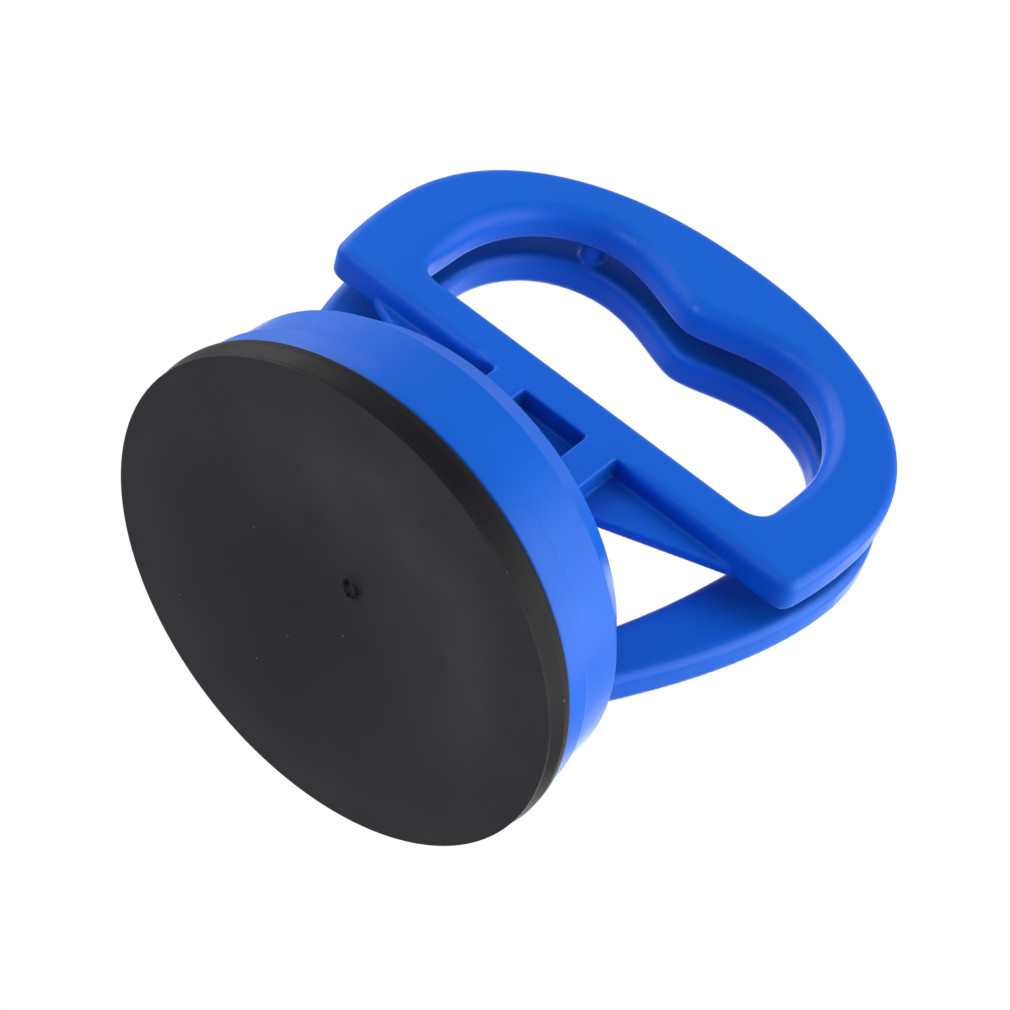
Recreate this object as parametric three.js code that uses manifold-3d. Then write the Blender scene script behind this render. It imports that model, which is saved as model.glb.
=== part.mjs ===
// Small vacuum suction cup with a rubber pad, a moulded bell with a fixed handle,
// and a cam lever that draws the pad up into the bell.
//
// Millimetres, +Z up. The origin is the centre of the pad's sealing face, which lies in the
// plane z = 0. The pivot pin runs along X. The lever swings towards -Y and the fixed handle
// stands on the +Y side of it. The lever is modelled closed, beside the fixed handle.

import * as THREE from 'three';
import { mergeVertices } from 'three/addons/utils/BufferGeometryUtils.js';
import Module from 'manifold-3d';

const wasm = await Module();
wasm.setup();

// ---- Driving dimensions ----

const GAP = 0.3;               // clearance between neighbouring pieces
const ROUND_STEPS = 80;        // facets round the pad and the bell
const PIN_STEPS = 28;          // facets round the pin and the stem

const PAD_R = 27.5;            // sharp edge of the sealing face
const PAD_WALL_R = 27.7;       // widest part of the pad's side, near its back
const PAD_BACK_Z = 3.4;        // back of the pad at its rim
const DISH_R = 23.8;           // inside this radius the face is hollowed
const DISH_DEPTH = 3.9;
const PAD_WEB = 3.2;           // rubber thickness over the hollow
const PAD_BOSS_R = 9;
const PAD_BOSS_TOP = 9.4;

const STEM_R = 3.9;
const FLANGE_R = 7;
const FLANGE_Z = 5.6;
const FLANGE_T = 1.4;

const SKIRT_R = 27;            // ring of the bell next to the pad
const SKIRT_TOP_Z = 6.7;
const WALL_R = 26.27;          // bell wall above the ring, at its top edge
const WALL_TOP_Z = 12.07;
const SHOULDER_R = 23.36;      // inner edge of the sloping shoulder
const BELL_TOP_Z = 16;
const BELL_WALL = 2.3;
const GUIDE_R = 7;             // guide tube round the stem, inside the bell
const GUIDE_Z = 10.5;
const RIB_COUNT = 6;
const RIB_T = 1.4;

const PIN_R = 1.6;
const PIN_Z = 22.5;
const LUG_INNER_X = 4.2;
const LUG_OUTER_X = 8.2;

const LEVER_FRONT_Y = -4.1;
const LEVER_BACK_Y = 0.2;
const HANDLE_FRONT_Y = 3.3;
const HANDLE_BACK_Y = 7.7;
const EDGE = 1.1;              // rounding of the handle edges

const LOOP_HALF_W = 32.2;        // outline that both handles share
const LOOP_WIDEST_Z = 46;
const LOOP_TOP_Z = 70.3;
const LOOP_POWER = 2.2;        // exponent of the outline's rounded top
const HOLE_HALF_W = 23.3;
const LOBE_X = 11.3;           // top of each finger scallop
const LOBE_Z = 62;
const CUSP_Z = 59.2;           // point between the two scallops
const BAR_BOTTOM_Z = 34.9;
const BAR_TOP_Z = 40.2;
const BAR_HALF_W = 31.2;

const LEVER_SWING = THREE.MathUtils.degToRad(75);
const PAD_TRAVEL = 2.6;        // stem travel over the full swing of the lever

const BLUE = 0x1c5fd6;
const BLACK = 0x232427;
const STEEL = 0xb4b7ba;

// ---- Solids ----

function solid(geometry) {
  const plain = geometry.index ? geometry.toNonIndexed() : geometry.clone();
  plain.deleteAttribute('normal');
  plain.deleteAttribute('uv');
  const merged = mergeVertices(plain, 1e-4);
  const mesh = new wasm.Mesh({
    numProp: 3,
    vertProperties: merged.attributes.position.array,
    triVerts: new Uint32Array(merged.index.array),
  });
  return new wasm.Manifold(mesh);
}

function join(...pieces) {
  return pieces.reduce((sum, piece) => sum.add(piece));
}

function toMesh(name, body, material) {
  const { vertProperties, triVerts } = body.getMesh();
  const geometry = new THREE.BufferGeometry();
  geometry.setAttribute('position', new THREE.BufferAttribute(vertProperties, 3));
  geometry.setIndex(new THREE.BufferAttribute(triVerts, 1));
  geometry.computeVertexNormals();
  const mesh = new THREE.Mesh(geometry, material);
  mesh.name = name;
  return mesh;
}

// A profile of [radius, height] pairs turned about the Z axis.
function turned(profile, steps) {
  const points = profile.map(([r, z]) => new THREE.Vector2(r, z));
  const lathe = new THREE.LatheGeometry(points, steps);
  lathe.rotateX(Math.PI / 2);
  return solid(lathe);
}

// A shape drawn in X and Z, given thickness from y0 to y1 with rounded edges.
function upright(shape, y0, y1, edge) {
  const geometry = new THREE.ExtrudeGeometry(shape, {
    depth: y1 - y0 - 2 * edge,
    bevelEnabled: edge > 0,
    bevelThickness: edge,
    bevelSize: edge,
    bevelOffset: -edge,
    bevelSegments: 2,
    curveSegments: 12,
  });
  geometry.rotateX(Math.PI / 2);
  geometry.translate(0, y1 - edge, 0);
  return solid(geometry);
}

// A shape drawn in Y and Z, given thickness from x0 to x1.
function crosswise(shape, x0, x1) {
  const geometry = new THREE.ExtrudeGeometry(shape, { depth: x1 - x0, bevelEnabled: false, curveSegments: 10 });
  geometry.applyMatrix4(new THREE.Matrix4().set(0, 0, 1, x0, 1, 0, 0, 0, 0, 1, 0, 0, 0, 0, 0, 1));
  return solid(geometry);
}

function rodAlongX(radius, halfLength, y, z) {
  const geometry = new THREE.CylinderGeometry(radius, radius, 2 * halfLength, PIN_STEPS);
  geometry.rotateZ(Math.PI / 2);
  geometry.translate(0, y, z);
  return solid(geometry);
}

// ---- Suction pad and its stud ----

// Face of the pad: flat near the rim, then hollowed in a smooth dish.
function dishZ(r) {
  const t = Math.min(r / DISH_R, 1);
  return DISH_DEPTH * (1 - t * t) ** 2;
}

function padProfile() {
  const face = [0, 3, 6, 9, 12, 15, 18, 21, DISH_R].map((r) => [r, dishZ(r)]);
  const rim = [
    [PAD_R - 0.1, 0],
    [PAD_R, 0.15],
    [PAD_R - 0.05, 0.6],
    [PAD_WALL_R, 2.1],
    [PAD_WALL_R, 2.7],
    [PAD_WALL_R - 0.4, PAD_BACK_Z - 0.2],
    [PAD_WALL_R - 0.8, PAD_BACK_Z],
  ];
  const back = [24.6, 21, 18, 15, 12].map((r) => [r, Math.max(PAD_BACK_Z, dishZ(r) + PAD_WEB)]);
  const pocketR = FLANGE_R + GAP;
  const pocketTop = FLANGE_Z + FLANGE_T + GAP;
  const boss = [
    [PAD_BOSS_R + 0.8, dishZ(PAD_BOSS_R) + PAD_WEB + 0.4],
    [PAD_BOSS_R, PAD_BOSS_TOP - 1],
    [PAD_BOSS_R - 0.9, PAD_BOSS_TOP],
    [STEM_R + GAP, PAD_BOSS_TOP],
    [STEM_R + GAP, pocketTop],
    [pocketR, pocketTop],
    [pocketR, FLANGE_Z - GAP],
    [0, FLANGE_Z - GAP],
  ];
  return [...face, ...rim, ...back, ...boss];
}

function suctionPad() {
  return turned(padProfile(), ROUND_STEPS);
}

// Stud held in the pad: a flange in the rubber, a stem through the bell, and an eye for the pin.
function padStud() {
  const domeSteps = 5;
  const dome = [];
  for (let i = 0; i < domeSteps; i += 1) {
    const a = (i / domeSteps) * Math.PI / 2;
    dome.push([STEM_R * Math.cos(a), PIN_Z + STEM_R * Math.sin(a)]);
  }
  const profile = [
    [0, FLANGE_Z],
    [FLANGE_R - 0.3, FLANGE_Z],
    [FLANGE_R, FLANGE_Z + 0.3],
    [FLANGE_R, FLANGE_Z + FLANGE_T],
    [STEM_R, FLANGE_Z + FLANGE_T],
    ...dome,
    [0, PIN_Z + STEM_R],
  ];
  const eye = rodAlongX(PIN_R + GAP, STEM_R + 1, 0, PIN_Z);
  return turned(profile, PIN_STEPS).subtract(eye);
}

function pivotPin() {
  return rodAlongX(PIN_R, LUG_OUTER_X - 0.1, 0, PIN_Z);
}

// ---- Bell and fixed handle, one moulding ----

function bellProfile() {
  const skirtBottom = PAD_BACK_Z + GAP;
  const innerR = SKIRT_R - BELL_WALL;
  const ceiling = BELL_TOP_Z - BELL_WALL;
  const boreR = STEM_R + GAP + 0.1;
  return [
    [innerR, skirtBottom],
    [SKIRT_R - 0.6, skirtBottom],
    [SKIRT_R, skirtBottom + 0.6],
    [SKIRT_R, SKIRT_TOP_Z - 0.2],
    [SKIRT_R - 0.15, SKIRT_TOP_Z],
    [SKIRT_R - 0.45, SKIRT_TOP_Z + 0.15],
    [WALL_R, WALL_TOP_Z],
    [SHOULDER_R, BELL_TOP_Z],
    [boreR, BELL_TOP_Z],
    [boreR, GUIDE_Z],
    [GUIDE_R, GUIDE_Z],
    [GUIDE_R, ceiling],
    [SHOULDER_R - 1.4, ceiling],
    [WALL_R - BELL_WALL + 0.1, WALL_TOP_Z - 1],
    [innerR, skirtBottom],
  ];
}

function bellRibs() {
  const ribs = [];
  const innerEnd = GUIDE_R - 0.5;
  const outerEnd = WALL_R - BELL_WALL + 0.4;
  const height = BELL_TOP_Z - BELL_WALL + 0.3 - GUIDE_Z;
  for (let i = 0; i < RIB_COUNT; i += 1) {
    const rib = new THREE.BoxGeometry(outerEnd - innerEnd, RIB_T, height);
    rib.translate((innerEnd + outerEnd) / 2, 0, GUIDE_Z + height / 2);
    rib.rotateZ(((i + 0.5) / RIB_COUNT) * 2 * Math.PI);
    ribs.push(solid(rib));
  }
  return ribs;
}

// Rounded top that both handles share, from the widest point on the right to that on the left.
function loopTop() {
  const steps = 28;
  const points = [];
  for (let i = 0; i <= steps; i += 1) {
    const a = (i / steps) * Math.PI;
    const c = Math.cos(a);
    const s = Math.sin(a);
    const x = LOOP_HALF_W * Math.sign(c) * Math.abs(c) ** (2 / LOOP_POWER);
    const z = LOOP_WIDEST_Z + (LOOP_TOP_Z - LOOP_WIDEST_Z) * s ** (2 / LOOP_POWER);
    points.push(new THREE.Vector2(x, z));
  }
  return points;
}

// Two finger scallops and the point between them, drawn from right to left on a path that
// already stands at the right-hand side of the opening.
function scallops(path, sideZ) {
  const sideCurveZ = sideZ + 8;
  path.bezierCurveTo(HOLE_HALF_W, sideCurveZ, LOBE_X + 6.2, LOBE_Z, LOBE_X, LOBE_Z);
  path.bezierCurveTo(LOBE_X - 4.6, LOBE_Z, 2.6, CUSP_Z, 0, CUSP_Z);
  path.bezierCurveTo(-2.6, CUSP_Z, -LOBE_X + 4.6, LOBE_Z, -LOBE_X, LOBE_Z);
  path.bezierCurveTo(-LOBE_X - 6.2, LOBE_Z, -HOLE_HALF_W, sideCurveZ, -HOLE_HALF_W, sideZ);
}

// The fixed handle is a bow whose legs narrow down to the bell's shoulder.
function bowShape() {
  const footZ = BELL_TOP_Z - 1.2;
  const footOuterX = 22.2;
  const footInnerX = 15.8;
  const sideZ = 49;
  const shape = new THREE.Shape();
  shape.moveTo(footOuterX, footZ);
  shape.bezierCurveTo(27.2, 24.5, LOOP_HALF_W - 0.4, 35, LOOP_HALF_W, LOOP_WIDEST_Z);
  for (const p of loopTop().slice(1)) {
    shape.lineTo(p.x, p.y);
  }
  shape.bezierCurveTo(-LOOP_HALF_W + 0.4, 35, -27.2, 24.5, -footOuterX, footZ);
  shape.lineTo(-footInnerX, footZ);
  shape.bezierCurveTo(-19.6, 24, -HOLE_HALF_W, 36, -HOLE_HALF_W, sideZ);
  const inner = new THREE.Path();
  inner.moveTo(HOLE_HALF_W, sideZ);
  scallops(inner, sideZ);
  for (const p of inner.getPoints(10).reverse().slice(1)) {
    shape.lineTo(p.x, p.y);
  }
  shape.bezierCurveTo(HOLE_HALF_W, 36, 19.6, 24, footInnerX, footZ);
  shape.closePath();
  return shape;
}

// Small bumper on the bow that the closed lever comes up to.
function bumper() {
  const y0 = LEVER_BACK_Y + GAP;
  const y1 = HANDLE_FRONT_Y + 1;
  const geometry = new THREE.CylinderGeometry(1.3, 1.5, y1 - y0, PIN_STEPS);
  geometry.rotateX(Math.PI);
  geometry.translate(-15.8, (y0 + y1) / 2, 63.6);
  return solid(geometry);
}

function housing() {
  const bell = turned(bellProfile(), ROUND_STEPS);
  const bow = upright(bowShape(), HANDLE_FRONT_Y, HANDLE_BACK_Y, EDGE);
  return join(bell, bow, bumper(), ...bellRibs());
}

// ---- Lever ----

function leverOutline() {
  const corner = 2;
  const shape = new THREE.Shape();
  shape.moveTo(-BAR_HALF_W + corner, BAR_BOTTOM_Z);
  shape.lineTo(BAR_HALF_W - corner, BAR_BOTTOM_Z);
  shape.quadraticCurveTo(BAR_HALF_W, BAR_BOTTOM_Z, BAR_HALF_W + 0.2, BAR_BOTTOM_Z + corner);
  shape.quadraticCurveTo(LOOP_HALF_W, LOOP_WIDEST_Z - 5, LOOP_HALF_W, LOOP_WIDEST_Z);
  for (const p of loopTop().slice(1)) {
    shape.lineTo(p.x, p.y);
  }
  shape.quadraticCurveTo(-LOOP_HALF_W, LOOP_WIDEST_Z - 5, -BAR_HALF_W - 0.2, BAR_BOTTOM_Z + corner);
  shape.quadraticCurveTo(-BAR_HALF_W, BAR_BOTTOM_Z, -BAR_HALF_W + corner, BAR_BOTTOM_Z);
  return shape;
}

function leverHole() {
  const corner = 3;
  const sideZ = 48;
  const hole = new THREE.Path();
  hole.moveTo(-HOLE_HALF_W + corner, BAR_TOP_Z);
  hole.lineTo(HOLE_HALF_W - corner, BAR_TOP_Z);
  hole.quadraticCurveTo(HOLE_HALF_W, BAR_TOP_Z, HOLE_HALF_W, BAR_TOP_Z + corner);
  hole.lineTo(HOLE_HALF_W, sideZ);
  scallops(hole, sideZ);
  hole.lineTo(-HOLE_HALF_W, BAR_TOP_Z + corner);
  hole.quadraticCurveTo(-HOLE_HALF_W, BAR_TOP_Z, -HOLE_HALF_W + corner, BAR_TOP_Z);
  return hole;
}

// Cam edge, about the pin. Its support height falls evenly with the lever's angle, so the edge
// is the involute of a circle and the pad's travel stays in proportion to the swing.
function camPoint(angle) {
  const rate = PAD_TRAVEL / LEVER_SWING;
  const height = PIN_Z - BELL_TOP_Z - GAP - rate * angle;
  const y = -height * Math.sin(angle) + rate * Math.cos(angle);
  const z = PIN_Z - height * Math.cos(angle) - rate * Math.sin(angle);
  return [y, z];
}

// Side view of a lug, which ends in the cam.
function lugShape() {
  const insideBarZ = BAR_BOTTOM_Z + 2;
  const camStart = THREE.MathUtils.degToRad(79);
  const camEnd = THREE.MathUtils.degToRad(-28);
  const camSteps = 16;
  const shape = new THREE.Shape();
  shape.moveTo(LEVER_BACK_Y, insideBarZ);
  shape.lineTo(LEVER_FRONT_Y, insideBarZ);
  shape.lineTo(LEVER_FRONT_Y, PIN_Z + 2);
  for (let i = 0; i <= camSteps; i += 1) {
    shape.lineTo(...camPoint(camStart + (i / camSteps) * (camEnd - camStart)));
  }
  shape.quadraticCurveTo(6, PIN_Z - 1, 4.4, PIN_Z + 2.6);
  shape.quadraticCurveTo(LEVER_BACK_Y, PIN_Z + 8, LEVER_BACK_Y, BAR_BOTTOM_Z - 1);
  shape.closePath();
  return shape;
}

// Thin web under the bar. It closes the space between the lugs and tapers off on both sides.
function web() {
  const rootX = LUG_OUTER_X - 0.5;
  const tipX = 24.2;
  const rootZ = 27.7;
  const insideBarZ = BAR_BOTTOM_Z + 1.6;
  const shape = new THREE.Shape();
  shape.moveTo(-rootX, rootZ);
  shape.lineTo(rootX, rootZ);
  shape.lineTo(tipX, BAR_BOTTOM_Z - 0.2);
  shape.lineTo(tipX, insideBarZ);
  shape.lineTo(-tipX, insideBarZ);
  shape.lineTo(-tipX, BAR_BOTTOM_Z - 0.2);
  shape.closePath();
  return upright(shape, LEVER_BACK_Y - 1.6, LEVER_BACK_Y - 0.2, 0);
}

function lever() {
  const outline = leverOutline();
  outline.holes.push(leverHole());
  const loop = upright(outline, LEVER_FRONT_Y, LEVER_BACK_Y, EDGE);
  const pinHole = rodAlongX(PIN_R + GAP, LUG_OUTER_X + 1, 0, PIN_Z);
  const lugs = [
    crosswise(lugShape(), LUG_INNER_X, LUG_OUTER_X),
    crosswise(lugShape(), -LUG_OUTER_X, -LUG_INNER_X),
  ];
  return join(loop, ...lugs, web()).subtract(pinHole);
}

// ---- Assembly ----

const plastic = () => new THREE.MeshStandardMaterial({ color: BLUE, roughness: 0.42, metalness: 0 });
const rubber = new THREE.MeshStandardMaterial({ color: BLACK, roughness: 0.5, metalness: 0 });
const steel = () => new THREE.MeshStandardMaterial({ color: STEEL, roughness: 0.3, metalness: 1 });

const cup = new THREE.Group();
cup.add(toMesh('suction_pad', suctionPad(), rubber));
cup.add(toMesh('pad_stud', padStud(), steel()));
cup.add(toMesh('housing', housing(), plastic()));
cup.add(toMesh('lever', lever(), plastic()));
cup.add(toMesh('pivot_pin', pivotPin(), steel()));

export default cup;
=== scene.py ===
"""Studio picture of a small vacuum suction cup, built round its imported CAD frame.

The cup has a black rubber pad, a blue bell with a fixed handle, and a blue cam lever. Shapes are
drawn in millimetres in the CAD frame and become metres when their mesh is made.
"""

import math

import bpy
import numpy as np
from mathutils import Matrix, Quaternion, Vector


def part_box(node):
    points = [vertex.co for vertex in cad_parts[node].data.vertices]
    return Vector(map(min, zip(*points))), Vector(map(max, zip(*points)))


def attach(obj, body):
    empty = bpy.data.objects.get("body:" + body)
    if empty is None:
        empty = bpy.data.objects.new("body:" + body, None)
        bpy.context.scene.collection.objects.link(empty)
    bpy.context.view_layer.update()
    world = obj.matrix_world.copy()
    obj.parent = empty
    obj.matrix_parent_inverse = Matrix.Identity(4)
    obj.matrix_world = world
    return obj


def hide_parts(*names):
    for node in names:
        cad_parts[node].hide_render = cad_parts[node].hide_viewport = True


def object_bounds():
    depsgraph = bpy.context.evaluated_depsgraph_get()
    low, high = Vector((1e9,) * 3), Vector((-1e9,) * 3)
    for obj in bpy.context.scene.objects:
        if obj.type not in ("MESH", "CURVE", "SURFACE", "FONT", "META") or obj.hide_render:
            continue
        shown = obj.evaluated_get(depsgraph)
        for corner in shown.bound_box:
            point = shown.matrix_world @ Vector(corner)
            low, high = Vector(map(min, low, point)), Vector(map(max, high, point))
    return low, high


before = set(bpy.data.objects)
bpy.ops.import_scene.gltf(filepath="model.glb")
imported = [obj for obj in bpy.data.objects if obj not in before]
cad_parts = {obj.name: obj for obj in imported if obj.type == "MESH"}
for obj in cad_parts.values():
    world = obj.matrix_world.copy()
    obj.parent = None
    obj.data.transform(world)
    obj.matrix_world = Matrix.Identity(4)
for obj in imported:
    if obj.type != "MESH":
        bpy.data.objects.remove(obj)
cad_low, cad_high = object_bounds()

MM = 0.001

# ---- Sizes in millimetres, from the frame and from the moulded shapes ----


def corner(node, index):
    """Lowest (0) or highest (1) corner of a CAD node, in millimetres."""
    return Vector(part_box(node)[index]) / MM


PAD_WALL_R = corner("suction_pad", 1).x
PAD_R = PAD_WALL_R - 0.2        # sharp edge of the sealing face
PAD_BOSS_TOP = corner("suction_pad", 1).z
PAD_BACK_Z = 3.4                # back of the pad at its rim
DISH_R = 23.8                   # inside this radius the face is hollowed
DISH_DEPTH = 3.9
PAD_WEB = 3.2                   # rubber thickness over the dish
PAD_BOSS_R = 9.0

STEM_R = 3.9
FLANGE_R = corner("pad_stud", 1).x
FLANGE_Z = corner("pad_stud", 0).z
FLANGE_T = 1.4

PIN_R = corner("pivot_pin", 1).y
PIN_HALF = corner("pivot_pin", 1).x
PIN_Z = corner("pivot_pin", 1).z - PIN_R
CLEARANCE = 0.3                 # between neighbouring pieces

SKIRT_R = 27.0                  # ring of the bell next to the pad
SKIRT_BOTTOM_Z = corner("housing", 0).z
SKIRT_TOP_Z = 6.6
WALL_R = 26.27                  # bell wall above the ring, at its top edge
WALL_TOP_Z = 12.07
SHOULDER_R = 23.36              # inner edge of the sloping shoulder
BELL_TOP_Z = 16.0
BELL_WALL = 2.3
GUIDE_R = 7.0                   # guide tube round the stem, inside the bell
GUIDE_Z = 10.5
RIB_COUNT = 6
RIB_T = 1.4

LEVER_FRONT_Y = -4.1
LEVER_BACK_Y = 0.2
HANDLE_FRONT_Y = 3.3
HANDLE_BACK_Y = 7.7
LOOP_HALF_W = corner("lever", 1).x
LOOP_TOP_Z = corner("lever", 1).z
LOOP_WIDEST_Z = 46.0
LOOP_POWER = 2.2                # roundness of the handles' top; 2 would be an ellipse
HOLE_HALF_W = 23.3
LOBE_X = 11.3                   # middle of a finger scallop
LOBE_Z = 62.0
CUSP_Z = 59.2                   # point between the scallops
BAR_BOTTOM_Z = 34.9
BAR_TOP_Z = 40.2
BAR_HALF_W = 31.2
LUG_INNER_X = 4.2
LUG_OUTER_X = 8.2
LEVER_SWING = math.radians(75)
PAD_TRAVEL = 2.6

FRONT_EDGE = 1.3                # rounding of the lever's front edges
HOLE_EXTRA = 0.9                # more of it round the finger hole
LUG_LESS = 1.0                  # less of it at the lugs

ROUND_STEPS = 256
CELL = 0.3                     # grid step of the fixed handle's surface
FINE_CELL = 0.22               # grid step of the lever's surface

# ---- Mesh making ----


def add_mesh(name, verts, faces):
    """A smooth-shaded object from vertices in millimetres."""
    mesh = bpy.data.meshes.new(name)
    mesh.from_pydata((np.asarray(verts) * MM).tolist(), [], faces)
    mesh.update()
    mesh.polygons.foreach_set("use_smooth", [True] * len(mesh.polygons))
    piece = bpy.data.objects.new(name, mesh)
    bpy.context.scene.collection.objects.link(piece)
    return piece


def filleted(corners, steps=6):
    """A closed outline from (u, v, radius) corners, each corner rounded by a short curve."""
    count = len(corners)
    points = []
    for i, (u, v, radius) in enumerate(corners):
        p = Vector((u, v))
        before = Vector(corners[i - 1][:2]) - p
        after = Vector(corners[(i + 1) % count][:2]) - p
        if radius <= 0:
            points.append((u, v))
            continue
        half = before.angle(after) / 2
        reach = min(radius / math.tan(half), 0.48 * before.length, 0.48 * after.length)
        a = p + before.normalized() * reach
        b = p + after.normalized() * reach
        for k in range(steps + 1):
            t = k / steps
            points.append(tuple(a * (1 - t) ** 2 + p * 2 * t * (1 - t) + b * t ** 2))
    return points


def turned(name, profile, steps=ROUND_STEPS, axis="Z"):
    """A closed solid of revolution. The profile is a closed list of (radius, height) pairs."""
    verts, rings = [], []
    for r, h in profile:
        if r < 1e-6:
            rings.append([len(verts)] * steps)
            verts.append((0, 0, h))
            continue
        rings.append(range(len(verts), len(verts) + steps))
        for k in range(steps):
            a = 2 * math.pi * k / steps
            verts.append((r * math.cos(a), r * math.sin(a), h))
    faces = []
    for lower, upper in zip(rings, rings[1:] + rings[:1]):
        for k in range(steps):
            m = (k + 1) % steps
            ring = [lower[k], lower[m], upper[m], upper[k]]
            face = [v for n, v in enumerate(ring) if v not in ring[:n]]
            if len(face) > 2:
                faces.append(face)
    if axis == "X":
        verts = [(h, x, y) for x, y, h in verts]
    piece = add_mesh(name, verts, faces)
    weigh = piece.modifiers.new("even_shading", "WEIGHTED_NORMAL")
    weigh.weight = 100
    return piece


def rounded_cut(a, b, radius):
    """Distance field of what two solids share, with its edge rounded."""
    u = np.maximum(radius + a, 0)
    v = np.maximum(radius + b, 0)
    return np.minimum(-radius, np.maximum(a, b)) + np.hypot(u, v)


def rounded_join(a, b, radius):
    """Distance field of two solids together, with a fillet where they meet."""
    u = np.maximum(radius - a, 0)
    v = np.maximum(radius - b, 0)
    return np.maximum(radius, np.minimum(a, b)) - np.hypot(u, v)


def outline_distance(points, u, v):
    """Signed distance from (u, v) to a closed outline, negative inside."""
    best = np.full(np.broadcast(u, v).shape, np.inf)
    inside = np.zeros(best.shape, bool)
    for (au, av), (bu, bv) in zip(points, points[1:] + points[:1]):
        eu, ev = bu - au, bv - av
        length = eu * eu + ev * ev
        if length < 1e-12:
            continue
        t = np.clip(((u - au) * eu + (v - av) * ev) / length, 0, 1)
        best = np.minimum(best, (u - au - eu * t) ** 2 + (v - av - ev * t) ** 2)
        if ev:
            crosses = ((av <= v) != (bv <= v)) & (u < au + (v - av) / ev * eu)
            inside = inside ^ crosses
    return np.where(inside, -1, 1) * np.sqrt(best)


def moulded(name, field, low, high, cell=CELL):
    """A closed quad mesh of the surface where field(x, y, z) is zero, negative inside."""
    counts = [int(math.ceil((b - a) / cell)) + 1 for a, b in zip(low, high)]
    axes = [a + cell * np.arange(n) for a, n in zip(low, counts)]
    d = np.broadcast_to(field(*np.meshgrid(*axes, indexing="ij", sparse=True)), counts)
    cells = [n - 1 for n in counts]
    total = np.zeros((np.prod(cells), 3))
    hits = np.zeros(np.prod(cells))
    crossed = []
    for axis in range(3):
        a = d[tuple(slice(0, -1) if k == axis else slice(None) for k in range(3))]
        b = d[tuple(slice(1, None) if k == axis else slice(None) for k in range(3))]
        mask = (a < 0) != (b < 0)
        at = np.argwhere(mask)
        where = at.astype(float)
        where[:, axis] += (a[mask] / (a[mask] - b[mask]))
        u, v = [k for k in range(3) if k != axis]
        around = []
        for du, dv in ((0, 0), (1, 0), (1, 1), (0, 1)):
            cell_at = at.copy()
            cell_at[:, u] -= du
            cell_at[:, v] -= dv
            flat = np.ravel_multi_index(cell_at.T, cells)
            np.add.at(total, flat, where)
            np.add.at(hits, flat, 1)
            around.append(flat)
        forward = (a[mask] < 0) != (axis == 1)
        quads = np.stack(around, axis=1)
        crossed.append(np.where(forward[:, None], quads, quads[:, ::-1]))
    used = hits > 0
    number = np.cumsum(used) - 1
    verts = total[used] / hits[used, None] * cell + np.array(low)
    faces = number[np.concatenate(crossed)]
    return add_mesh(name, verts, faces.tolist())


def unite(piece, others):
    """Joins other closed solids into piece, so that the moulding is one skin."""
    for other in others:
        tool = piece.modifiers.new("join", "BOOLEAN")
        tool.operation = "UNION"
        tool.solver = "MANIFOLD"
        tool.object = other
    bake(piece)
    for other in others:
        bpy.data.objects.remove(other)


def bake(piece):
    """Replaces a piece's mesh by what its modifiers make of it."""
    graph = bpy.context.evaluated_depsgraph_get()
    mesh = bpy.data.meshes.new_from_object(piece.evaluated_get(graph), depsgraph=graph)
    piece.modifiers.clear()
    piece.data = mesh


# ---- Rubber pad ----


def dish_z(r):
    t = min(r / DISH_R, 1)
    return DISH_DEPTH * (1 - t * t) ** 2


def pad_profile():
    """Section of the pad, from the middle of its face round the rim to the stud's pocket."""
    face = [(DISH_R * i / 40, dish_z(DISH_R * i / 40)) for i in range(41)]
    rim = filleted([
        (DISH_R + 0.5, 0, 0),
        (PAD_R, 0, 0.1),
        (PAD_R - 0.02, 0.45, 0.1),
        (PAD_R - 0.1, 0.6, 0.1),
        (PAD_WALL_R, 2.2, 0.6),
        (PAD_WALL_R - 0.1, PAD_BACK_Z, 0.55),
        (DISH_R + 0.6, PAD_BACK_Z, 0),
    ])
    back = [(r, max(PAD_BACK_Z, dish_z(r) + PAD_WEB)) for r in (21, 18, 15, 12)]
    pocket_r = FLANGE_R + CLEARANCE
    pocket_top = FLANGE_Z + FLANGE_T + CLEARANCE
    boss = [
        (PAD_BOSS_R + 0.8, dish_z(PAD_BOSS_R) + PAD_WEB + 0.4),
        (PAD_BOSS_R, PAD_BOSS_TOP - 1),
        (PAD_BOSS_R - 0.3, PAD_BOSS_TOP - 0.3),
        (PAD_BOSS_R - 0.9, PAD_BOSS_TOP),
        (STEM_R + CLEARANCE, PAD_BOSS_TOP),
        (STEM_R + CLEARANCE, pocket_top),
        (pocket_r, pocket_top),
        (pocket_r, FLANGE_Z - CLEARANCE),
        (0, FLANGE_Z - CLEARANCE),
    ]
    return face + rim + back + boss


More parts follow.
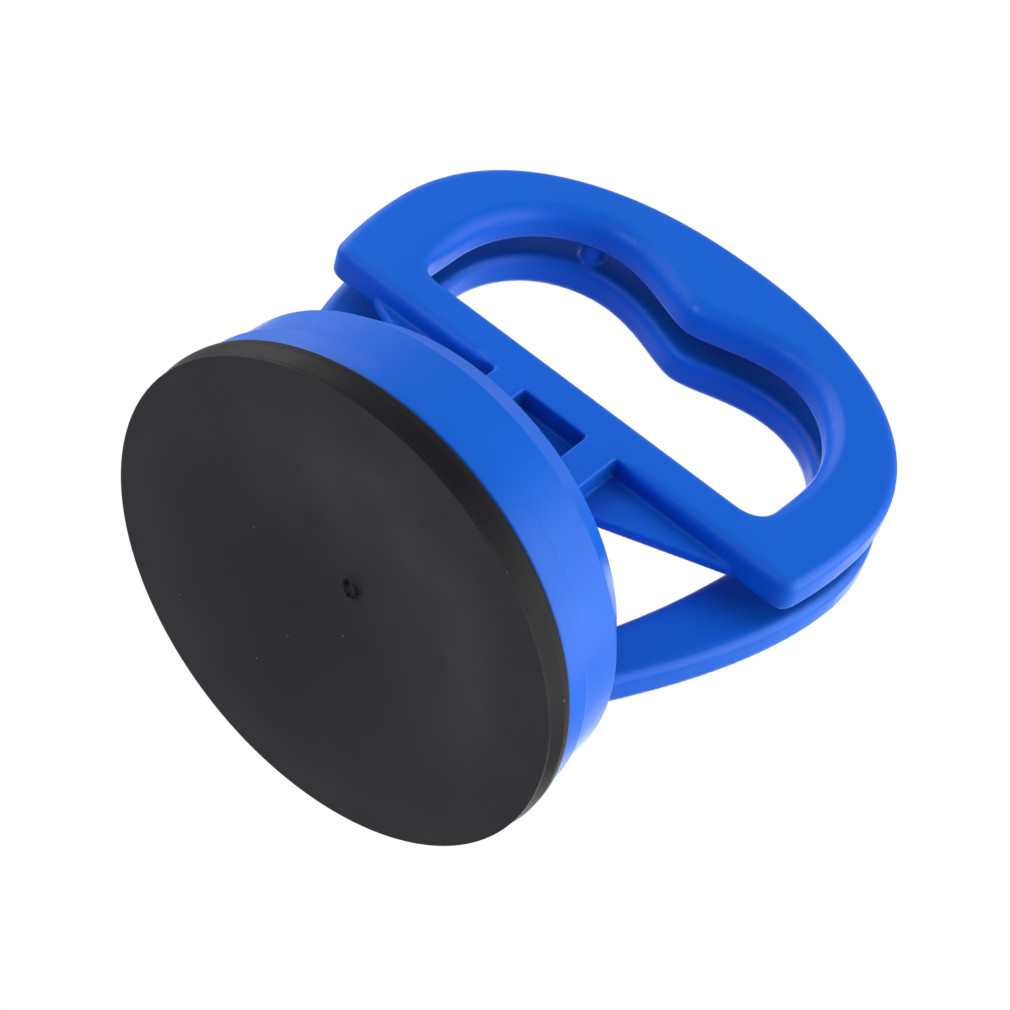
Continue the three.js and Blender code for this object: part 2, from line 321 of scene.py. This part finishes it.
def gate_mark():
    """The torn stub that the mould's gate left in the middle of the face."""
    rings, steps, radius = 18, 48, 1.25
    wave_count, ridge, ridge_height = 7, 0.62, 0.42
    chance = np.random.default_rng(7)
    waves = []
    for _ in range(wave_count):
        waves.append((chance.integers(2, 9), chance.uniform(0, 2 * math.pi), chance.uniform(0.5, 1)))
    verts = [(0, 0, dish_z(0) - 0.1)]
    for i in range(1, rings + 1):
        s = i / rings
        for k in range(steps):
            a = 2 * math.pi * k / steps
            rough = sum(w * math.sin(n * a + p + 5 * s * w) for n, p, w in waves) / wave_count
            r = radius * s * (1 + 0.16 * rough * s)
            lift = ridge_height * math.exp(-((s - ridge) / 0.2) ** 2) * (1 + 1.5 * rough)
            floor = dish_z(r) + (0.06 if i == rings else 0.0)
            verts.append((r * math.cos(a), r * math.sin(a), floor - lift - 0.1 * (1 - s)))
    top = len(verts)
    verts.append((0, 0, dish_z(0) + 0.3))
    faces = []
    for k in range(steps):
        m = (k + 1) % steps
        faces.append((0, 1 + m, 1 + k))
        for i in range(rings - 1):
            a, b = 1 + i * steps, 1 + (i + 1) * steps
            faces.append((a + k, a + m, b + m, b + k))
        last = 1 + (rings - 1) * steps
        faces.append((last + k, last + m, top))
    return add_mesh("gate_mark", verts, faces)


# ---- Metal stud and pin ----


def stud_profile():
    dome = []
    for i in range(17):
        a = i / 16 * math.pi / 2
        dome.append((STEM_R * math.cos(a), PIN_Z + STEM_R * math.sin(a)))
    dome[-1] = (0, dome[-1][1])
    flange = filleted([
        (0, FLANGE_Z, 0),
        (FLANGE_R, FLANGE_Z, 0.4),
        (FLANGE_R, FLANGE_Z + FLANGE_T, 0.4),
        (STEM_R, FLANGE_Z + FLANGE_T, 0.3),
        (STEM_R, PIN_Z - 1, 0),
    ])
    return flange + dome


def pin_profile():
    chamfer = 0.3
    return filleted([
        (0, -PIN_HALF, 0),
        (PIN_R - chamfer, -PIN_HALF, 0.15),
        (PIN_R, -PIN_HALF + chamfer, 0.15),
        (PIN_R, PIN_HALF - chamfer, 0.15),
        (PIN_R - chamfer, PIN_HALF, 0.15),
        (0, PIN_HALF, 0),
    ])


def stud():
    piece = turned("pull_stud", stud_profile(), 96)
    hole = PIN_R + CLEARANCE
    reach = STEM_R + 2
    drill = turned("drill", [(0, -reach), (hole, -reach), (hole, reach), (0, reach)], 64, "X")
    drill.modifiers.clear()
    for v in drill.data.vertices:
        v.co.z += PIN_Z * MM
    tool = piece.modifiers.new("eye", "BOOLEAN")
    tool.operation = "DIFFERENCE"
    tool.solver = "MANIFOLD"
    tool.object = drill
    bake(piece)
    bpy.data.objects.remove(drill)
    return piece


def pin():
    piece = turned("hinge_pin", pin_profile(), 64, "X")
    for v in piece.data.vertices:
        v.co.z += PIN_Z * MM
    return piece


# ---- Outlines that the two handles share ----


def bezier(points, steps=18):
    """Points of a cubic or quadratic curve, without its first point."""
    p = [np.array(q, float) for q in points]
    order = len(p) - 1
    out = []
    for k in range(1, steps + 1):
        t = k / steps
        out.append(tuple(sum(
            math.comb(order, i) * (1 - t) ** (order - i) * t ** i * q for i, q in enumerate(p)
        )))
    return out


def loop_top(steps=96):
    """Rounded top of both handles, from the widest point on the right to that on the left."""
    points = []
    for i in range(1, steps + 1):
        c, s = math.cos(i / steps * math.pi), math.sin(i / steps * math.pi)
        x = LOOP_HALF_W * math.copysign(abs(c) ** (2 / LOOP_POWER), c)
        z = LOOP_WIDEST_Z + (LOOP_TOP_Z - LOOP_WIDEST_Z) * max(s, 0) ** (2 / LOOP_POWER)
        points.append((x, z))
    return points


def scallops(side_z):
    """Two finger scallops and the point between them, from right to left."""
    side = side_z + 8
    right = bezier([(HOLE_HALF_W, side_z), (HOLE_HALF_W, side), (LOBE_X + 6.2, LOBE_Z), (LOBE_X, LOBE_Z)])
    right += bezier([(LOBE_X, LOBE_Z), (LOBE_X - 4.6, LOBE_Z), (2.6, CUSP_Z), (0, CUSP_Z)])
    left = [(-x, z) for x, z in reversed([(HOLE_HALF_W, side_z)] + right[:-1])]
    return right + left


def lever_outline():
    low, rise, wide = BAR_BOTTOM_Z, 2.0, BAR_HALF_W
    shoulder_z = LOOP_WIDEST_Z - 5
    right = bezier([(wide - 2, low), (wide, low), (wide + 0.2, low + rise)], 8)
    right += bezier([(wide + 0.2, low + rise), (LOOP_HALF_W, shoulder_z), (LOOP_HALF_W, LOOP_WIDEST_Z)])
    left = [(-x, z) for x, z in reversed([(wide - 2, low)] + right[:-1])]
    return [(-wide + 2, low), (wide - 2, low)] + right + loop_top() + left[:-1]


def lever_hole():
    side_z, bend = 48.0, 3.0
    low, wide = BAR_TOP_Z, HOLE_HALF_W
    right = bezier([(wide - bend, low), (wide, low), (wide, low + bend)], 8)
    left = [(-x, z) for x, z in reversed([(wide - bend, low)] + right)]
    return [(wide - bend, low)] + right + [(wide, side_z)] + scallops(side_z) + left


def bow_outline():
    foot_z, outer_x, inner_x, side_z = BELL_TOP_Z - 1.2, 22.2, 15.8, 49.0
    outer = [(outer_x, foot_z)]
    outer += bezier([outer[0], (27.2, 24.5), (LOOP_HALF_W - 0.4, 35), (LOOP_HALF_W, LOOP_WIDEST_Z)])
    inner = bezier([(inner_x, foot_z), (19.6, 24), (HOLE_HALF_W, 36), (HOLE_HALF_W, side_z)])
    left_outer = [(-x, z) for x, z in reversed(outer[:-1])]
    left_inner = [(-inner_x, foot_z)] + [(-x, z) for x, z in inner]
    right_inner = list(reversed(inner[:-1])) + [(inner_x, foot_z)]
    return outer + loop_top() + left_outer + left_inner + scallops(side_z)[::-1][1:] + right_inner


# ---- Bell and fixed handle ----


def bell_profile():
    inner_r = SKIRT_R - BELL_WALL
    ceiling = BELL_TOP_Z - BELL_WALL
    bore_r = STEM_R + CLEARANCE + 0.1
    return filleted([
        (inner_r, SKIRT_BOTTOM_Z, 0.2),
        (SKIRT_R - 0.1, SKIRT_BOTTOM_Z, 0.5),
        (SKIRT_R, SKIRT_TOP_Z, 0.2),
        (SKIRT_R - 0.45, SKIRT_TOP_Z + 0.25, 0.1),
        (WALL_R, WALL_TOP_Z, 0.45),
        (SHOULDER_R, BELL_TOP_Z, 0.8),
        (bore_r, BELL_TOP_Z, 0.3),
        (bore_r, GUIDE_Z, 0.2),
        (GUIDE_R, GUIDE_Z, 0.3),
        (GUIDE_R, ceiling, 0.4),
        (SHOULDER_R - 1.4, ceiling, 0.8),
        (WALL_R - BELL_WALL + 0.1, WALL_TOP_Z - 1, 0.8),
    ])


def bell_rib(index):
    """One stiffening rib under the bell's ceiling."""
    x0, x1 = GUIDE_R - 0.5, WALL_R - BELL_WALL + 0.4
    z0, z1 = GUIDE_Z, BELL_TOP_Z - BELL_WALL + 0.3
    half = RIB_T / 2
    draft = 0.15
    section = [(-half + draft, z0), (half - draft, z0), (half, z1), (-half, z1)]
    verts = [(x0, y, z) for y, z in section] + [(x1, y, z) for y, z in section]
    faces = [(3, 2, 1, 0), (4, 5, 6, 7)]
    faces += [(k, (k + 1) % 4, (k + 1) % 4 + 4, k + 4) for k in range(4)]
    a = (index + 0.5) / RIB_COUNT * 2 * math.pi
    c, s = math.cos(a), math.sin(a)
    verts = [(x * c - y * s, x * s + y * c, z) for x, y, z in verts]
    return add_mesh("rib", verts, faces)


def bow():
    """The fixed handle with its foot fillets and the bumper for the lever."""
    outline = bow_outline()
    under = 0.03                # the fillet's bell lies this far inside the real one
    low_z = 4.0                 # anywhere well below the handle's feet
    cone = [
        (0, low_z),
        (SKIRT_R - 2, low_z),
        (WALL_R - under, WALL_TOP_Z),
        (SHOULDER_R - under, BELL_TOP_Z - under),
        (0, BELL_TOP_Z - under),
    ]
    fillet, reach = 1.0, 1.4    # foot fillet, and how far it may spread from the handle
    bumper_x, bumper_z, bumper_r = -15.8, 63.6, 1.4

    def field(x, y, z):
        side = outline_distance(outline, x, z)
        body = rounded_cut(side, HANDLE_FRONT_Y - y, 1.25)
        body = rounded_cut(body, y - HANDLE_BACK_Y, 1.1)
        nub = np.hypot(x - bumper_x, z - bumper_z) - bumper_r
        nub = rounded_cut(nub, LEVER_BACK_Y + CLEARANCE - y, 0.35)
        nub = np.maximum(nub, y - HANDLE_BACK_Y + 1.5)
        body = rounded_join(body, nub, 0.4)
        bell = outline_distance(cone, np.hypot(x, y), z)
        whole = rounded_join(body, bell, fillet)
        return np.maximum(np.maximum(whole, body - reach), BELL_TOP_Z - 1.6 - z)

    low = (-LOOP_HALF_W - 1, LEVER_BACK_Y - 0.6, BELL_TOP_Z - 3)
    high = (LOOP_HALF_W + 1, HANDLE_BACK_Y + 2.2, LOOP_TOP_Z + 1)
    return moulded("bow", field, low, high)


def housing():
    piece = turned("bell_with_handle", bell_profile())
    piece.modifiers.clear()
    unite(piece, [bow()] + [bell_rib(i) for i in range(RIB_COUNT)])
    weigh = piece.modifiers.new("even_shading", "WEIGHTED_NORMAL")
    weigh.weight = 60
    return piece


# ---- Lever ----


def cam_point(angle):
    """Cam edge about the pin: the involute of a circle, so that the pad's travel is even."""
    rate = PAD_TRAVEL / LEVER_SWING
    height = PIN_Z - BELL_TOP_Z - CLEARANCE - rate * angle
    y = -height * math.sin(angle) + rate * math.cos(angle)
    z = PIN_Z - height * math.cos(angle) - rate * math.sin(angle)
    return y, z


def lug_outline():
    """Side view of a lug in Y and Z. Its front is left long, and the lever's front face trims it."""
    start, end = math.radians(79), math.radians(-28)
    cam = [cam_point(start + (end - start) * i / 40) for i in range(41)]
    top = BAR_BOTTOM_Z + 2
    back = bezier([cam[-1], (6, PIN_Z - 1), (4.4, PIN_Z + 2.6)], 10)
    back += bezier([back[-1], (LEVER_BACK_Y, PIN_Z + 8), (LEVER_BACK_Y, BAR_BOTTOM_Z - 1)], 14)
    long_y, trim_z = LEVER_FRONT_Y - 3, PIN_Z + 2
    front = [(LEVER_BACK_Y - 1.5, top), (long_y, top), (long_y, trim_z), (LEVER_FRONT_Y, trim_z)]
    return front + cam + back


def lever():
    outer, hole, lug = lever_outline(), lever_hole(), lug_outline()
    web_root, web_tip, web_low, web_top = LUG_OUTER_X - 0.5, 24.2, 27.7, BAR_BOTTOM_Z + 1.6
    web_y, web_half = LEVER_BACK_Y - 0.9, 0.7
    web = [
        (-1, web_low),
        (web_root, web_low),
        (web_tip, BAR_BOTTOM_Z - 0.2),
        (web_tip, web_top),
        (-1, web_top),
    ]
    lug_x, lug_half = (LUG_INNER_X + LUG_OUTER_X) / 2, (LUG_OUTER_X - LUG_INNER_X) / 2

    def field(x, y, z):
        across = np.abs(x)
        inner = outline_distance(hole, x, z)
        side = np.maximum(outline_distance(outer, x, z), -inner)
        body = rounded_cut(side, y - LEVER_BACK_Y, 0.8)
        lugs = rounded_cut(outline_distance(lug, y, z), np.abs(across - lug_x) - lug_half, 0.3)
        body = rounded_join(body, lugs, 0.3)
        wall = rounded_cut(outline_distance(web, across, z), np.abs(y - web_y) - web_half, 0.25)
        body = rounded_join(body, wall, 0.3)
        near_hole = np.clip((3.5 - inner) / 2.5, 0, 1) * np.clip((z - BAR_TOP_Z) / 6, 0, 1)
        near_lugs = np.clip((BAR_BOTTOM_Z + 1.4 - z) / 0.8, 0, 1)
        near_lugs = near_lugs * np.clip((LUG_OUTER_X + 3 - across) / 2, 0, 1)
        edge = FRONT_EDGE + HOLE_EXTRA * near_hole - LUG_LESS * near_lugs
        body = rounded_cut(body, LEVER_FRONT_Y - y, edge)
        eye = PIN_R + CLEARANCE - np.hypot(y, z - PIN_Z)
        return rounded_cut(body, eye, 0.25)

    low = (-LOOP_HALF_W - 1, LEVER_FRONT_Y - 1, BELL_TOP_Z - 1)
    high = (LOOP_HALF_W + 1, 8, LOOP_TOP_Z + 1)
    return moulded("cam_lever", field, low, high, FINE_CELL)


# ---- Materials ----


def new_material(name, base, roughness, metallic=0.0):
    mat = bpy.data.materials.new(name)
    mat.use_nodes = True
    nodes, links = mat.node_tree.nodes, mat.node_tree.links
    shader = nodes["Principled BSDF"]
    shader.inputs["Base Color"].default_value = (*base, 1)
    shader.inputs["Roughness"].default_value = roughness
    shader.inputs["Metallic"].default_value = metallic
    return mat, nodes, links, shader


def noise(nodes, links, scale, detail=4.0, stretch=(1, 1, 1), kind="ShaderNodeTexNoise"):
    """A noise texture in object space; scale counts features per metre."""
    coords = nodes.new("ShaderNodeTexCoord")
    mapping = nodes.new("ShaderNodeMapping")
    mapping.inputs["Scale"].default_value = stretch
    links.new(coords.outputs["Object"], mapping.inputs["Vector"])
    tex = nodes.new(kind)
    tex.inputs["Scale"].default_value = scale
    if kind == "ShaderNodeTexNoise":
        tex.inputs["Detail"].default_value = detail
    links.new(mapping.outputs["Vector"], tex.inputs["Vector"])
    return tex


def ramp(nodes, links, source, stops):
    """A colour ramp whose stops are (position, value or colour)."""
    node = nodes.new("ShaderNodeValToRGB")
    elements = node.color_ramp.elements
    while len(elements) < len(stops):
        elements.new(0.5)
    for element, (position, value) in zip(elements, stops):
        element.position = position
        element.color = (value, value, value, 1) if isinstance(value, float) else (*value, 1)
    links.new(source, node.inputs["Fac"])
    return node.outputs["Color"]


def mix(nodes, links, factor, a, b, blend="MIX"):
    node = nodes.new("ShaderNodeMix")
    node.data_type = "RGBA"
    node.blend_type = blend
    for socket, value in ((node.inputs["Factor"], factor), (node.inputs["A"], a), (node.inputs["B"], b)):
        if isinstance(value, bpy.types.NodeSocket):
            links.new(value, socket)
        elif isinstance(value, float):
            socket.default_value = value
        else:
            socket.default_value = (*value, 1)
    return node.outputs["Result"]


def bump(nodes, links, shader, layers):
    """Stacks bump layers of (height socket, distance in metres, strength) on the shader."""
    normal = None
    for height, distance, strength in layers:
        node = nodes.new("ShaderNodeBump")
        node.inputs["Distance"].default_value = distance
        node.inputs["Strength"].default_value = strength
        links.new(height, node.inputs["Height"])
        if normal is not None:
            links.new(normal, node.inputs["Normal"])
        normal = node.outputs["Normal"]
    links.new(normal, shader.inputs["Normal"])


def edge_mask(nodes, links, low, high, grain):
    """Light where the surface is sharply convex, broken up by grain."""
    geometry = nodes.new("ShaderNodeNewGeometry")
    sharp = ramp(nodes, links, geometry.outputs["Pointiness"], [(low, 0.0), (high, 1.0)])
    return mix(nodes, links, 1.0, sharp, grain, "MULTIPLY")


def plastic(name):
    """Satin blue moulded plastic: flow shades, painted shade in recesses, fine grain and rubbed edges."""
    deep, pale, rubbed_blue = (0.0035, 0.140, 0.78), (0.0045, 0.156, 0.84), (0.05, 0.24, 0.90)
    mat, nodes, links, shader = new_material(name, (0.004, 0.148, 0.80), 0.4)
    cloudy = noise(nodes, links, 60, 3)
    tone = ramp(nodes, links, cloudy.outputs["Fac"], [(0.3, deep), (0.7, pale)])
    scuff = noise(nodes, links, 1400, 6, (1, 0.35, 1))
    scuffed = ramp(nodes, links, scuff.outputs["Fac"], [(0.5, 0.0), (0.68, 1.0)])
    worn = edge_mask(nodes, links, 0.52, 0.58, scuffed)
    rubbed = mix(nodes, links, worn, tone, rubbed_blue)
    # Painted shade: ambient occlusion darkens the colour in recesses, under the bar and round the lugs.
    painted_shade_ao = nodes.new("ShaderNodeAmbientOcclusion")
    painted_shade_ao.samples = 8
    painted_shade_ao.inputs["Distance"].default_value = 0.015
    painted_shade = ramp(nodes, links, painted_shade_ao.outputs["AO"], [(0.35, 0.48), (0.9, 1.0)])
    colour = mix(nodes, links, 1.0, rubbed, painted_shade, "MULTIPLY")
    links.new(colour, shader.inputs["Base Color"])
    patchy = noise(nodes, links, 220, 5)
    rough = ramp(nodes, links, patchy.outputs["Fac"], [(0.3, 0.34), (0.7, 0.46)])
    links.new(rough, shader.inputs["Roughness"])
    shader.inputs["IOR"].default_value = 1.49
    shader.inputs["Specular IOR Level"].default_value = 0.26
    shader.inputs["Subsurface Weight"].default_value = 0.12
    shader.inputs["Subsurface Radius"].default_value = (0.1, 0.3, 1.0)
    shader.inputs["Subsurface Scale"].default_value = 0.002
    grain = noise(nodes, links, 5200, 2)
    swell = noise(nodes, links, 110, 2)
    bump(nodes, links, shader, [(swell.outputs["Fac"], 0.0004, 0.25), (grain.outputs["Fac"], 0.00002, 0.5)])
    return mat


def rubber():
    """Black moulded rubber: a darker side, a lighter face where the surface points down, and a few specks.
    """
    side_dark, side_light = (0.008, 0.008, 0.010), (0.013, 0.013, 0.015)
    face_dark, face_light = (0.054, 0.055, 0.064), (0.066, 0.067, 0.078)
    mat, nodes, links, shader = new_material("black_rubber", (0.020, 0.020, 0.026), 0.5)
    smear = noise(nodes, links, 45, 5, (1, 0.6, 1))
    facing, parts = nodes.new("ShaderNodeTexCoord"), nodes.new("ShaderNodeSeparateXYZ")
    links.new(facing.outputs["Normal"], parts.inputs["Vector"])
    down = nodes.new("ShaderNodeMath")
    down.operation = "MULTIPLY"
    down.inputs[1].default_value = -1
    links.new(parts.outputs["Z"], down.inputs[0])
    # The colour is lighter where the surface points down, on the pad's face, and darker on its side.
    facing_down = ramp(nodes, links, down.outputs["Value"], [(0.4, 0.0), (0.85, 1.0)])
    side_tone = ramp(nodes, links, smear.outputs["Fac"], [(0.3, side_dark), (0.7, side_light)])
    face_tone = ramp(nodes, links, smear.outputs["Fac"], [(0.3, face_dark), (0.7, face_light)])
    tone = mix(nodes, links, facing_down, side_tone, face_tone)
    cells = noise(nodes, links, 420, kind="ShaderNodeTexVoronoi")
    speck = ramp(nodes, links, cells.outputs["Distance"], [(0.03, 1.0), (0.06, 0.0)])
    sparse = noise(nodes, links, 240, 1)
    chosen = ramp(nodes, links, sparse.outputs["Fac"], [(0.54, 0.0), (0.60, 1.0)])
    dust = mix(nodes, links, 1.0, speck, chosen, "MULTIPLY")
    worn = edge_mask(nodes, links, 0.53, 0.62, smear.outputs["Fac"])
    edged = mix(nodes, links, worn, tone, (0.05, 0.05, 0.055))
    colour = mix(nodes, links, dust, edged, (0.22, 0.21, 0.20))
    links.new(colour, shader.inputs["Base Color"])
    patchy = noise(nodes, links, 130, 6)
    rough = ramp(nodes, links, patchy.outputs["Fac"], [(0.3, 0.42), (0.7, 0.58)])
    links.new(rough, shader.inputs["Roughness"])
    shader.inputs["Specular IOR Level"].default_value = 0.16
    grain = noise(nodes, links, 4200, 3)
    bump(nodes, links, shader, [(smear.outputs["Fac"], 0.0003, 0.25), (grain.outputs["Fac"], 0.00002, 0.6)])
    return mat


def steel(name, stretch):
    """Turned steel: fine tool marks across the given axis and a few dull patches."""
    mat, nodes, links, shader = new_material(name, (0.60, 0.61, 0.62), 0.3, 1.0)
    lines = noise(nodes, links, 900, 3, stretch)
    tone = ramp(nodes, links, lines.outputs["Fac"], [(0.3, (0.52, 0.53, 0.54)), (0.7, (0.68, 0.68, 0.68))])
    worn = edge_mask(nodes, links, 0.52, 0.6, lines.outputs["Fac"])
    links.new(mix(nodes, links, worn, tone, (0.8, 0.8, 0.8)), shader.inputs["Base Color"])
    rough = ramp(nodes, links, lines.outputs["Fac"], [(0.3, 0.22), (0.7, 0.38)])
    links.new(rough, shader.inputs["Roughness"])
    bump(nodes, links, shader, [(lines.outputs["Fac"], 0.00003, 0.5)])
    return mat


# ---- Studio ----

CAMERA_AZIMUTH, CAMERA_ELEVATION = 23.03, -37.68


def look(azimuth, elevation):
    """Unit vector from the object towards a viewer at that azimuth and elevation."""
    a, e = math.radians(azimuth), math.radians(elevation)
    return Vector((math.sin(a) * math.cos(e), -math.cos(a) * math.cos(e), math.sin(e)))


def camera():
    """The viewer looks up at the pad's face, with the camera rolled well over."""
    distance, roll = 0.30912, 52.19
    target = Vector((0.003015, 0, 0.024266))
    cam = bpy.data.objects.new("camera", bpy.data.cameras.new("camera"))
    bpy.context.scene.collection.objects.link(cam)
    cam.data.sensor_width = 36
    cam.data.lens = 108.46
    cam.data.clip_start, cam.data.clip_end = 0.01, 20
    back = look(CAMERA_AZIMUTH, CAMERA_ELEVATION)
    cam.location = target + back * distance
    cam.rotation_mode = "QUATERNION"
    level = (-back).to_track_quat("-Z", "Y")
    cam.rotation_quaternion = level @ Quaternion((0, 0, 1), math.radians(roll))
    bpy.context.scene.camera = cam


def softbox(name, direction, distance, size, exposure):
    """A square soft light. exposure 1 lights a surface that faces it as a white sky would."""
    centre = (cad_low + cad_high) / 2
    lamp = bpy.data.lights.new(name, "AREA")
    lamp.size = size
    lamp.energy = exposure * math.pi ** 2 * distance ** 2
    light = bpy.data.objects.new(name, lamp)
    light.location = centre + direction.normalized() * distance
    light.rotation_mode = "QUATERNION"
    light.rotation_quaternion = (-direction).to_track_quat("-Z", "Y")
    light.visible_camera = False
    bpy.context.scene.collection.objects.link(light)


def sky():
    """White for the camera. As light it is bright behind the object and dim in front of it."""
    backdrop = -look(CAMERA_AZIMUTH, CAMERA_ELEVATION)
    world = bpy.data.worlds.new("studio")
    bpy.context.scene.world = world
    world.use_nodes = True
    nodes, links = world.node_tree.nodes, world.node_tree.links
    nodes.clear()
    seen, lit = nodes.new("ShaderNodeBackground"), nodes.new("ShaderNodeBackground")
    seen.inputs["Color"].default_value = (1, 1, 1, 1)
    coords, facing = nodes.new("ShaderNodeTexCoord"), nodes.new("ShaderNodeVectorMath")
    facing.operation = "DOT_PRODUCT"
    facing.inputs[1].default_value = backdrop
    links.new(coords.outputs["Generated"], facing.inputs[0])
    glow = ramp(nodes, links, facing.outputs["Value"], [(0.0, 0.22), (0.6, 0.55)])
    links.new(glow, lit.inputs["Color"])
    path = nodes.new("ShaderNodeLightPath")
    choose, out = nodes.new("ShaderNodeMixShader"), nodes.new("ShaderNodeOutputWorld")
    links.new(path.outputs["Is Camera Ray"], choose.inputs["Fac"])
    links.new(lit.outputs["Background"], choose.inputs[1])
    links.new(seen.outputs["Background"], choose.inputs[2])
    links.new(choose.outputs["Shader"], out.inputs["Surface"])


def floor():
    """A pale floor just under the cup. The main view looks up at the pad from below the floor, so
    the floor has only an upper side, and it neither lights nor shades the cup."""
    drop, half = 0.0002, 8.0
    corners = ((-half, -half), (half, -half), (half, half), (-half, half))
    verts = [(x / MM, y / MM, -drop / MM) for x, y in corners]
    plane = add_mesh("floor", verts, [(0, 1, 2, 3)])
    mat, nodes, links, shader = new_material("pale_floor", (0.9, 0.9, 0.9), 0.9)
    faint = noise(nodes, links, 8, 3)
    tone = ramp(nodes, links, faint.outputs["Fac"], [(0.3, 0.90), (0.7, 0.92)])
    links.new(tone, shader.inputs["Base Color"])
    glow, clear = nodes.new("ShaderNodeEmission"), nodes.new("ShaderNodeBsdfTransparent")
    glow.inputs["Color"].default_value = (1, 1, 1, 1)
    coords, length = nodes.new("ShaderNodeTexCoord"), nodes.new("ShaderNodeVectorMath")
    length.operation = "LENGTH"
    links.new(coords.outputs["Object"], length.inputs[0])
    far = ramp(nodes, links, length.outputs["Value"], [(0.07, 0.0), (0.45, 1.0)])
    side = nodes.new("ShaderNodeNewGeometry")
    fade, sided = nodes.new("ShaderNodeMixShader"), nodes.new("ShaderNodeMixShader")
    links.new(far, fade.inputs["Fac"])
    links.new(shader.outputs["BSDF"], fade.inputs[1])
    links.new(glow.outputs["Emission"], fade.inputs[2])
    links.new(side.outputs["Backfacing"], sided.inputs["Fac"])
    links.new(fade.outputs["Shader"], sided.inputs[1])
    links.new(clear.outputs["BSDF"], sided.inputs[2])
    links.new(sided.outputs["Shader"], nodes["Material Output"].inputs["Surface"])
    plane.data.materials.append(mat)
    plane.visible_diffuse = plane.visible_glossy = plane.visible_shadow = False


def place(piece, material, body, node):
    piece.data.materials.clear()
    piece.data.materials.append(material)
    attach(piece, body)
    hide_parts(node)


camera()
sky()
floor()
softbox("key", Vector((0.93, -0.2, 0.3)), 0.8, 1.0, 1.4)
softbox("fill", Vector((-0.9, -0.4, 0.1)), 0.8, 0.8, 0.8)
softbox("low_fill", Vector((-0.31, -0.61, -0.73)), 0.7, 0.3, 0.15)
softbox("back", Vector((-0.2, 0.8, 0.5)), 0.8, 0.8, 0.7)
bpy.context.scene.view_settings.view_transform = "Standard"

pad = turned("rubber_pad", pad_profile())
bake(pad)
unite(pad, [gate_mark()])
place(pad, rubber(), "pad", "suction_pad")
place(stud(), steel("stud_steel_turned", (1, 1, 12)), "pad", "pad_stud")
place(pin(), steel("pin_steel_turned", (12, 1, 1)), "pad", "pivot_pin")
place(housing(), plastic("bell_plastic"), "housing", "housing")
place(lever(), plastic("lever_plastic"), "lever", "lever")
